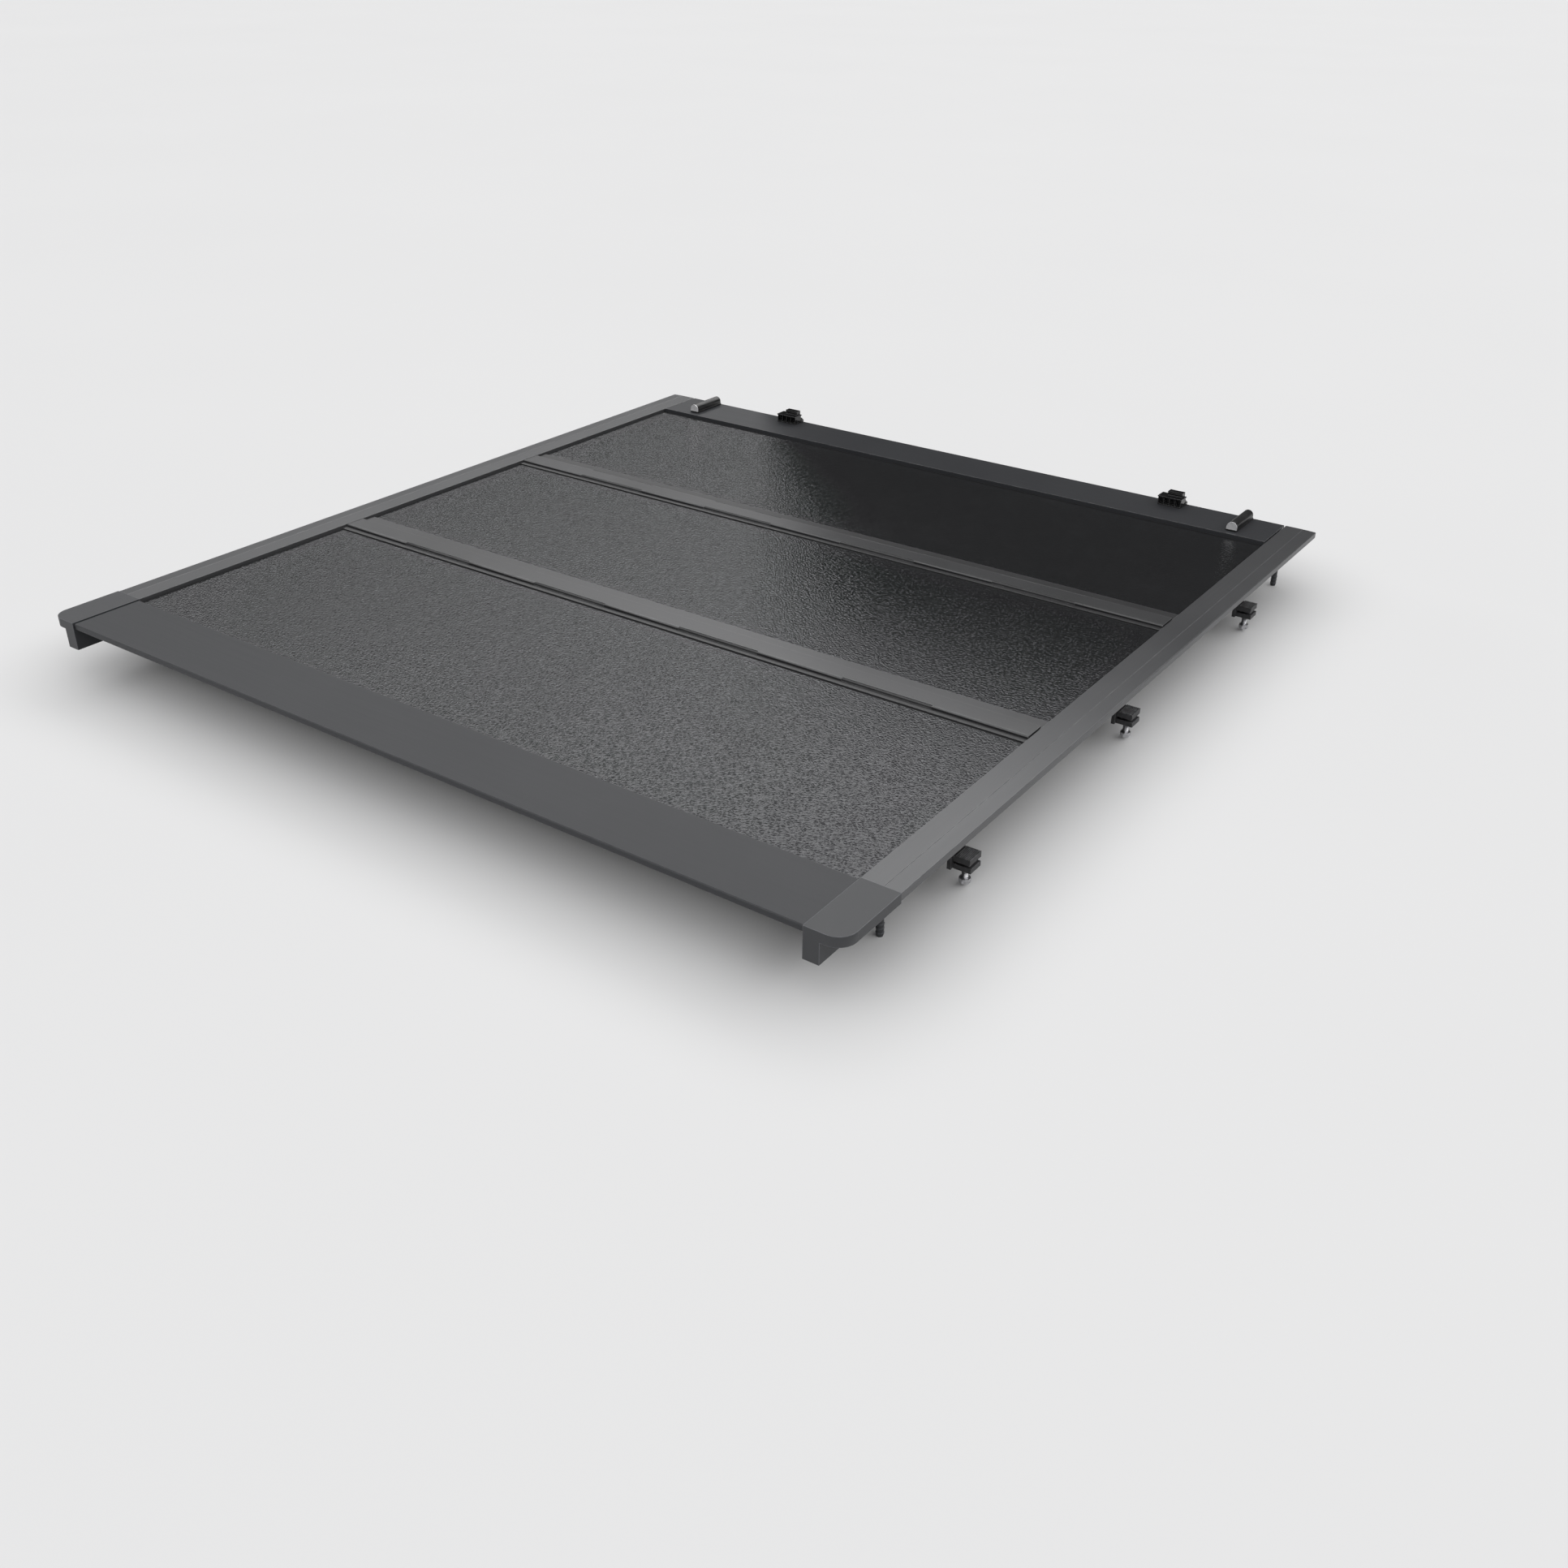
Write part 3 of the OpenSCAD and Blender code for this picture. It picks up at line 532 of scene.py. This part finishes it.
def thread(bm, centre, radius, depth, pitch, low, high, steps=20):
    """A helical thread between two heights."""
    turns = int((high - low) / pitch)
    count = steps * turns
    root, crest = [], []
    for k in range(count + steps + 1):
        a = 2 * math.pi * k / steps
        z = low + pitch * min(k, count) / steps
        x, y = math.cos(a), math.sin(a)
        root.append(bm.verts.new(Vector(centre) + Vector(((radius - depth) * x, (radius - depth) * y, z))))
        if k <= count:
            crest.append(bm.verts.new(Vector(centre) + Vector((radius * x, radius * y, z + pitch / 2))))
    for k in range(count):
        bm.faces.new((root[k], root[k + 1], crest[k + 1], crest[k]))
        bm.faces.new((crest[k], crest[k + 1], root[k + 1 + steps], root[k + steps]))


for i in range(1, 7):
    low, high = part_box(f"clamp_bolt_{i}")
    jaw_low, jaw_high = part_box(f"clamp_jaw_{i}")
    x, y = (low.x + high.x) / 2, (low.y + high.y) / 2
    outer = 1 if x > 0 else -1
    flat = (high.y - low.y) / 2
    head = low.z + 0.008
    bm = bmesh.new()
    lathe(bm, [(flat - 0.0011, low.z), (flat, low.z + 0.0007), (flat, head - 0.0022)], (x, y, 0), 6,
          lambda p, q, r: (q, p, r))
    lathe(bm, [(flat - 0.0004, head - 0.0023), (flat - 0.0002, head - 0.0008), (flat - 0.0006, head)],
          (x, y, 0), 40)
    shank = 0.005
    thread(bm, (x, y, 0), shank, 0.0006, 0.0015, head, jaw_low.z - 0.0012)
    lathe(bm, [(shank - 0.0006, head - 0.001), (shank - 0.0006, jaw_low.z - 0.0003)], (x, y, 0), 24)
    piece(f"clamp_bolt_{i}_threaded", bm, "steel", f"clamp_bolt_{i}", f"clamp_bolt_{i}", 0.0, 40)

    bm = bmesh.new()
    width = jaw_high.x - jaw_low.x
    inner, step = (0.0026, 0.0022)
    tall = jaw_high.z - jaw_low.z
    outline = [(0.0, 0.0), (width, 0.0), (width, tall - 0.0006)]
    teeth = 9
    run = (width - inner) / teeth
    for k in range(teeth):
        outline += [(width - k * run - 0.3 * run, tall), (width - (k + 1) * run, tall - 0.0012)]
    outline += [(inner, tall - step), (0.0, tall - step)]
    edge = jaw_low.x if outer > 0 else jaw_high.x
    prism(bm, outline, jaw_low.y, jaw_high.y,
          lambda u, v, w, edge=edge, outer=outer, base=jaw_low.z: (edge + outer * u, w, base + v))
    piece(f"clamp_jaw_{i}_toothed", bm, "clamp_metal", f"clamp_jaw_{i}", f"clamp_jaw_{i}", 0.0004)

bm = bmesh.new()
screws_low, screws_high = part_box("clamp_screws")
for i in range(1, 7):
    jaw_low, jaw_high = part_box(f"clamp_jaw_{i}")
    y = (jaw_low.y + jaw_high.y) / 2
    outer = 1 if jaw_low.x > 0 else -1
    tip = screws_high.x if outer > 0 else screws_low.x
    for shift in (-0.012, 0.012):
        z = (screws_low.z + screws_high.z) / 2
        lathe(bm, [(0.0022, -0.012), (0.0022, -0.0032), (0.0047, -0.0030), (0.0046, -0.0018), (0.0038, -0.0006),
                   (0.0028, 0.0), (0.0019, -0.0001), (0.0019, -0.0016)], (tip, y + shift, z), 24,
              lambda p, q, r, outer=outer: (outer * r, p, q))
piece("clamp_screw_heads", bm, "steel", "root", "clamp_screws", 0.0)


# ---- drain spigots ----

drain_low, drain_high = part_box("drain_spigots")
bm = bmesh.new()
for side in (-1, 1):
    for y in (drain_low.y + 0.010, drain_high.y - 0.010):
        x = side * (drain_high.x - 0.010)
        bore = 0.004
        profile = [(bore, drain_low.z), (0.0048, drain_low.z)]
        for k in range(3):
            z = drain_low.z + 0.001 + 0.007 * k
            profile += [(0.0059, z + 0.0045), (0.0059, z + 0.0052), (0.005, z + 0.0056)]
        top = drain_high.z - 0.006
        profile += [(0.005, top - 0.004), (0.0098, top - 0.003), (0.0099, top - 0.0006), (0.0095, top)]
        profile += [(0.0058, top), (0.0058, drain_high.z), (bore, drain_high.z), (bore, drain_low.z)]
        lathe(bm, profile, (x, y, 0), 28, close=False)
piece("drain_spigots_barbed", bm, "cap_plastic", "root", "drain_spigots", 0.0)


# ---- prop rods ----

for side in ("left", "right"):
    low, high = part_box(f"{side}_prop_rod")
    outward = 1 if side == "right" else -1
    eye = 0.007
    radius = 0.0039
    z = (low.z + high.z) / 2
    x = (low.x + 0.004) if outward > 0 else (high.x - 0.004)
    pivot_y, foot_y = high.y - eye, low.y + 0.004
    bend = 0.011
    path = [Vector((x, pivot_y - 0.004, z)), Vector((x, (pivot_y + foot_y) / 2, z)),
            Vector((x, foot_y + bend, z))]
    for k in range(1, 9):
        a = math.pi / 2 * k / 8
        path.append(Vector((x + outward * bend * (1 - math.cos(a)), foot_y + bend * (1 - math.sin(a)), z)))
    end = high.x if outward > 0 else low.x
    path.append(Vector((end - outward * 0.0008, foot_y, z)))
    bm = bmesh.new()
    sweep(bm, path, radius)
    lathe(bm, [(0.0031, -0.0036), (0.0066, -0.0036), (0.007, -0.0032), (0.007, 0.0032), (0.0066, 0.0036),
               (0.0031, 0.0036), (0.0031, -0.0036)], (x, pivot_y, z), 32, lambda p, q, r: (r, p, q), False)
    piece(f"{side}_prop_rod_bent", bm, "steel", f"{side}_prop_rod", f"{side}_prop_rod", 0.0, 50)


# ---- latch lever ----

low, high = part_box("latch_lever")
pivot = high.y - (high.x - low.x) / 2
bm = bmesh.new()
lathe(bm, [(0.0043, low.z), (0.0082, low.z), (0.009, low.z + 0.0008), (0.009, high.z - 0.0045),
           (0.0102, high.z - 0.003), (0.0292, high.z - 0.003), (0.0299, high.z - 0.0024),
           (0.0299, high.z - 0.0006), (0.0292, high.z), (0.0043, high.z), (0.0043, low.z)],
      (0, pivot, 0), 64, close=False)
for shift in (-0.0255, 0.0255):
    lathe(bm, [(0.0013, high.z - 0.012), (0.002, high.z - 0.0113), (0.002, high.z - 0.0025)],
          (0, pivot + shift, 0), 20)
reach = pivot - low.y
half = 0.008
waist = [(half, 0.008), (0.0069, 0.016), (0.0062, 0.027), (0.0067, 0.040), (0.0079, 0.054)]
tip = [(half * math.cos(math.pi * k / 14), reach - half + half * math.sin(math.pi * k / 14)) for k in range(15)]
outline = waist + tip + [(-u, v) for u, v in waist[::-1]]
prism(bm, outline, low.z + 0.0007, low.z + 0.0035, lambda u, v, w: (u, pivot - v, w))
for k in range(5):
    rib = reach - 0.026 + 0.0045 * k
    prism(bm, [(-0.0054, rib), (0.0054, rib), (0.0048, rib + 0.0018), (-0.0048, rib + 0.0018)],
          low.z, low.z + 0.0009, lambda u, v, w: (u, pivot - v, w))
piece("latch_lever_turned", bm, "latch_plastic", "latch_lever", "latch_lever", 0.0004)


# ---- camera, stage and light ----

# studio light: two steps by the sine of the elevation, one across; each is from, to and the value at both
COVE_RISE = (0.39, 0.47, 0.10, 2.95)
COVE_FALL = (0.60, 0.78, 1.0, 0.33)
COVE_SIDE = (-0.86, -0.50, 0.62, 1.0)


def add_camera():
    """Looks down from behind the right rear corner."""
    data = bpy.data.cameras.new("camera")
    data.sensor_width = 36.0
    data.lens = 35.15
    data.clip_end = 200.0
    camera = placed("camera", data)
    camera.location = CENTRE + Vector((1.5949, -2.1100, 1.0715))
    camera.rotation_euler = [math.radians(a) for a in (60.05, -0.59, 35.14)]
    bpy.context.scene.camera = camera


def add_floor():
    """A pale painted floor under the lowest point of the cover."""
    mesh = bpy.data.meshes.new("floor")
    half = 40.0
    corners = [(-half, -half), (half, -half), (half, half), (-half, half)]
    mesh.from_pydata([(x, y, FLOOR_Z) for x, y in corners], [], [(0, 1, 2, 3)])
    floor = placed("floor", mesh)
    s = Shader("floor_paint")
    cloud = s.noise(0.6, 3)
    paint = s.finish(Base_Color=s.mix(cloud, (0.585, 0.585, 0.588), (0.605, 0.605, 0.608)),
                     Roughness=0.75, Normal=s.bump(s.noise(60, 3), 0.0004, 0.15))
    mesh.materials.append(paint)
    return paint


def add_backdrop(paint):
    """A pale wall that curves up round the floor, seen by the camera alone."""
    radius, bend, top = 37.0, 9.0, 40.0
    profile = [(radius - bend + bend * math.sin(a), FLOOR_Z - 0.01 + bend - bend * math.cos(a))
               for a in (math.pi / 2 * k / 12 for k in range(13))]
    bm = bmesh.new()
    lathe(bm, profile + [(radius, top)], (0, 0, 0), 96, close=False)
    mesh = bpy.data.meshes.new("backdrop")
    bm.to_mesh(mesh)
    bm.free()
    mesh.shade_smooth()
    wall = placed("backdrop", mesh)
    mesh.materials.append(paint)
    wall.visible_diffuse = False
    wall.visible_glossy = False
    wall.visible_transmission = False
    wall.visible_shadow = False


def add_flag():
    """A dark card in front of the cover, seen only in its gloss, as a studio flag is used."""
    mesh = bpy.data.meshes.new("flag")
    y = cad_high.y + 0.10
    low, high = TOP_Z + 0.012, TOP_Z + 0.80
    mesh.from_pydata([(-0.62, y, low), (1.2, y, low), (1.2, y, high), (-0.40, y, high)], [], [(0, 1, 2, 3)])
    flag = placed("flag", mesh)
    s = Shader("flag_cloth")
    weave = s.noise(300, 2)
    mesh.materials.append(s.finish(Base_Color=s.mix(weave, (0.010, 0.010, 0.010), (0.02, 0.02, 0.02)),
                                   Roughness=0.9, Normal=s.bump(weave, 0.0005, 0.5)))
    flag.visible_camera = False
    flag.visible_diffuse = False
    flag.visible_shadow = False


def add_world():
    """A studio with dim walls, a bright cove above them and a softer ceiling."""
    world = bpy.data.worlds.new("studio")
    world.use_nodes = True
    tree = world.node_tree
    background = tree.nodes["Background"]
    background.inputs["Color"].default_value = (1.0, 1.0, 1.0, 1)
    place = tree.nodes.new("ShaderNodeTexCoord")
    split = tree.nodes.new("ShaderNodeSeparateXYZ")
    tree.links.new(place.outputs["Generated"], split.inputs[0])

    def step(axis, low, high, to_low, to_high):
        node = tree.nodes.new("ShaderNodeMapRange")
        node.interpolation_type = "SMOOTHSTEP"
        tree.links.new(split.outputs[axis], node.inputs["Value"])
        for key, number in zip(("From Min", "From Max", "To Min", "To Max"), (low, high, to_low, to_high)):
            node.inputs[key].default_value = number
        return node.outputs["Result"]

    strength = step("Z", *COVE_RISE)
    for share in (step("Z", *COVE_FALL), step("X", *COVE_SIDE)):
        product = tree.nodes.new("ShaderNodeMath")
        product.operation = "MULTIPLY"
        tree.links.new(strength, product.inputs[0])
        tree.links.new(share, product.inputs[1])
        strength = product.outputs[0]
    tree.links.new(strength, background.inputs["Strength"])
    bpy.context.scene.world = world


add_camera()
add_world()
add_backdrop(add_floor())
add_flag()
bpy.context.scene.view_settings.view_transform = "Standard"
